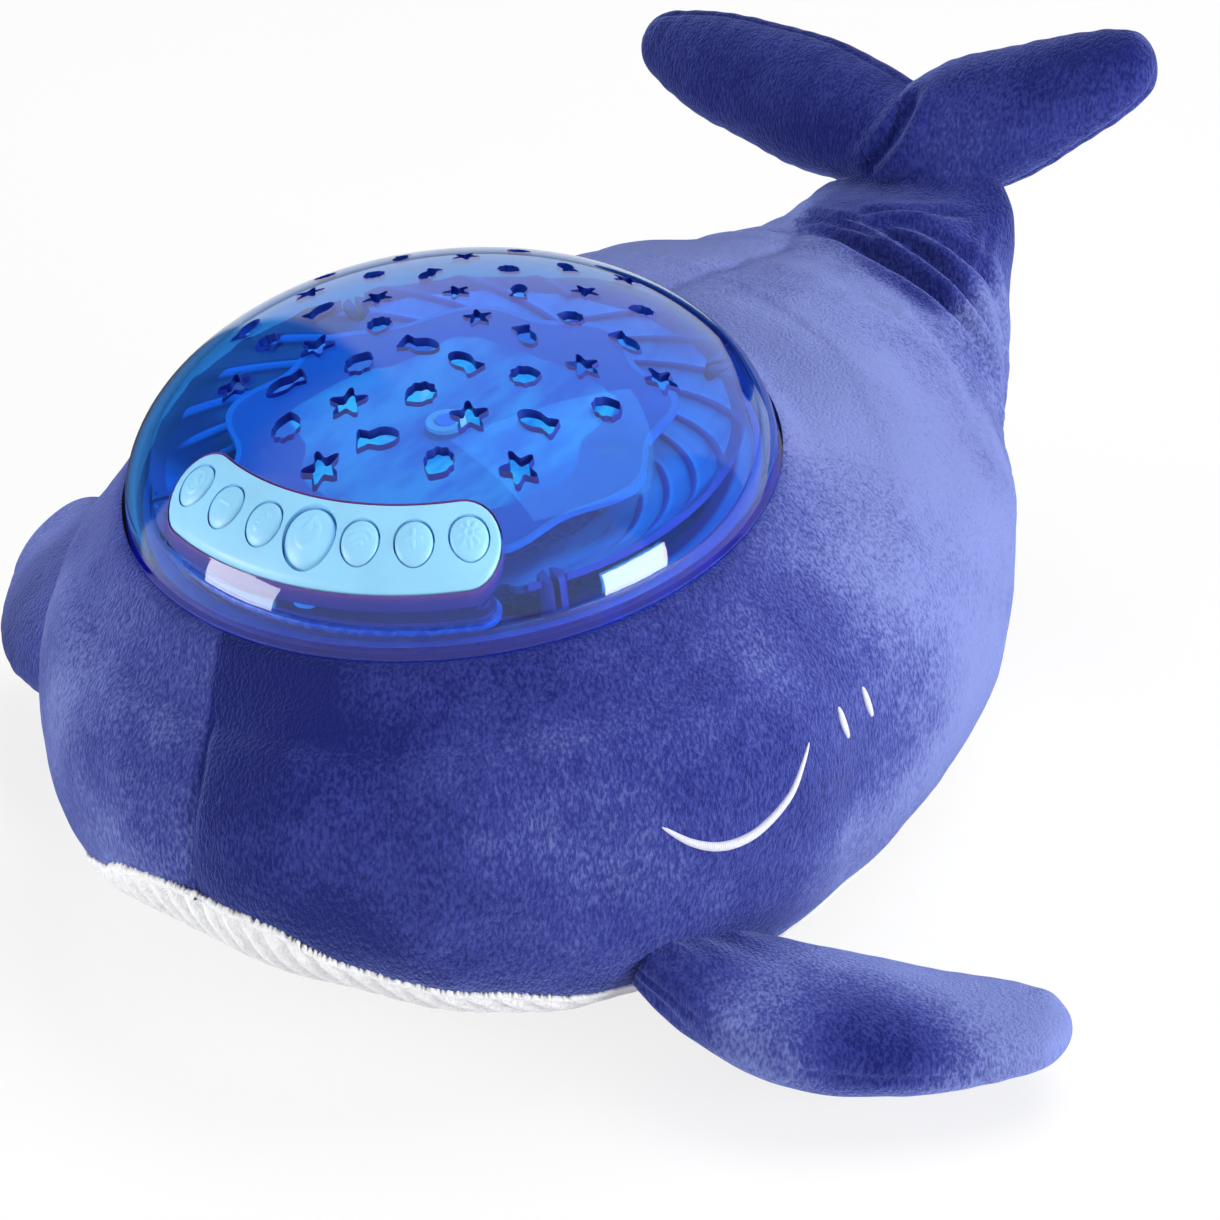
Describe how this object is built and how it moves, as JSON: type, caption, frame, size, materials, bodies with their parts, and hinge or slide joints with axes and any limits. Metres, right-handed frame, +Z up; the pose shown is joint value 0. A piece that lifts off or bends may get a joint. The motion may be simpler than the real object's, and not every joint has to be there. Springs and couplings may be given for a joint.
{
  "type": "plush night light",
  "caption": "Stuffed whale with a clear perforated dome on its back, over a geared wave lens, a lamp board and a curved row of push buttons.",
  "frame": {"origin": "on the ground, on the belly's flat resting face, under the middle of the dome", "axes": "+Z up, the head towards -Y, the tail towards +Y, the whale's left side towards +X"},
  "size_m": [0.3154, 0.3151, 0.1551],
  "materials": {
    "blue_fur": "short-pile plush with a mottled nap",
    "white_fur": "short-pile plush with lengthwise ribs",
    "clear_blue": "clear tinted gloss",
    "violet_plastic": "translucent satin",
    "pale_blue": "fine satin",
    "silicone": "matte",
    "circuit_board": "solder mask",
    "housing_blue": "moulded satin",
    "white_plastic": "moulded satin",
    "dark_plastic": "moulded satin",
    "clear_lens": "clear rippled gloss",
    "clear_led": "clear epoxy",
    "steel": "plated",
    "cell_wrap": "printed film, plain"
  },
  "bodies": {
    "toy": {"plush_body": "blue_fur", "tail_stock": "blue_fur", "left_fluke": "blue_fur", "right_fluke": "blue_fur", "left_fin": "blue_fur", "right_fin": "blue_fur", "belly_panel": "white_fur", "belly_flap": "white_fur", "dome": "clear_blue", "clamp_ring": "violet_plastic", "reflector_tray": "violet_plastic", "keypad_panel": "pale_blue", "key_mat": "silicone", "key_board": "circuit_board", "lower_housing": "housing_blue", "battery_door": "housing_blue", "door_screw": "steel", "deck": "white_plastic", "deck_screw_1": "steel", "deck_screw_2": "steel", "deck_screw_3": "steel", "deck_screw_4": "steel", "motor": "steel", "spindle_clip": "dark_plastic", "led_board": "circuit_board", "led_1": "clear_led", "led_2": "clear_led", "led_3": "clear_led", "led_4": "clear_led", "led_5": "clear_led", "led_6": "clear_led", "main_board": "circuit_board", "speaker": "dark_plastic", "contact_plate_left": "steel", "contact_plate_right": "steel", "contact_spring_1": "steel", "contact_spring_2": "steel", "contact_spring_3": "steel", "cell_1": "cell_wrap", "cell_2": "cell_wrap", "cell_3": "cell_wrap"},
    "wave_drive": {"lens_gear": "white_plastic", "wave_lens": "clear_lens"},
    "pinion": {"motor_pinion": "white_plastic"},
    "timer_button": {"key_timer": "pale_blue"},
    "volume_down_button": {"key_volume_down": "pale_blue"},
    "music_button": {"key_music": "pale_blue"},
    "power_button": {"key_power": "pale_blue"},
    "waves_button": {"key_waves": "pale_blue"},
    "volume_up_button": {"key_volume_up": "pale_blue"},
    "brightness_button": {"key_brightness": "pale_blue"}
  },
  "joints": [
    {"name": "wave_turn", "type": "hinge", "parent": "toy", "child": "wave_drive", "pos_m": [0, 0, 0.11], "axis": [0, -0.1057, 0.9944], "continuous": true},
    {"name": "pinion_turn", "type": "hinge", "parent": "toy", "child": "pinion", "pos_m": [-0.00539, 0.0295, 0.11314], "axis": [0, -0.1057, 0.9944], "continuous": true},
    {"name": "timer_press", "type": "slide", "parent": "toy", "child": "timer_button", "axis": [0, 0.1057, -0.9944], "range_m": [0, 0.001], "stiffness_N_per_m": 600},
    {"name": "volume_down_press", "type": "slide", "parent": "toy", "child": "volume_down_button", "axis": [0, 0.1057, -0.9944], "range_m": [0, 0.001], "stiffness_N_per_m": 600},
    {"name": "music_press", "type": "slide", "parent": "toy", "child": "music_button", "axis": [0, 0.1057, -0.9944], "range_m": [0, 0.001], "stiffness_N_per_m": 600},
    {"name": "power_press", "type": "slide", "parent": "toy", "child": "power_button", "axis": [0, 0.1057, -0.9944], "range_m": [0, 0.001], "stiffness_N_per_m": 600},
    {"name": "waves_press", "type": "slide", "parent": "toy", "child": "waves_button", "axis": [0, 0.1057, -0.9944], "range_m": [0, 0.001], "stiffness_N_per_m": 600},
    {"name": "volume_up_press", "type": "slide", "parent": "toy", "child": "volume_up_button", "axis": [0, 0.1057, -0.9944], "range_m": [0, 0.001], "stiffness_N_per_m": 600},
    {"name": "brightness_press", "type": "slide", "parent": "toy", "child": "brightness_button", "axis": [0, 0.1057, -0.9944], "range_m": [0, 0.001], "stiffness_N_per_m": 600}
  ],
  "couplings": [
    {"joint": "pinion_turn", "follows": "wave_turn", "ratio": -4}
  ]
}
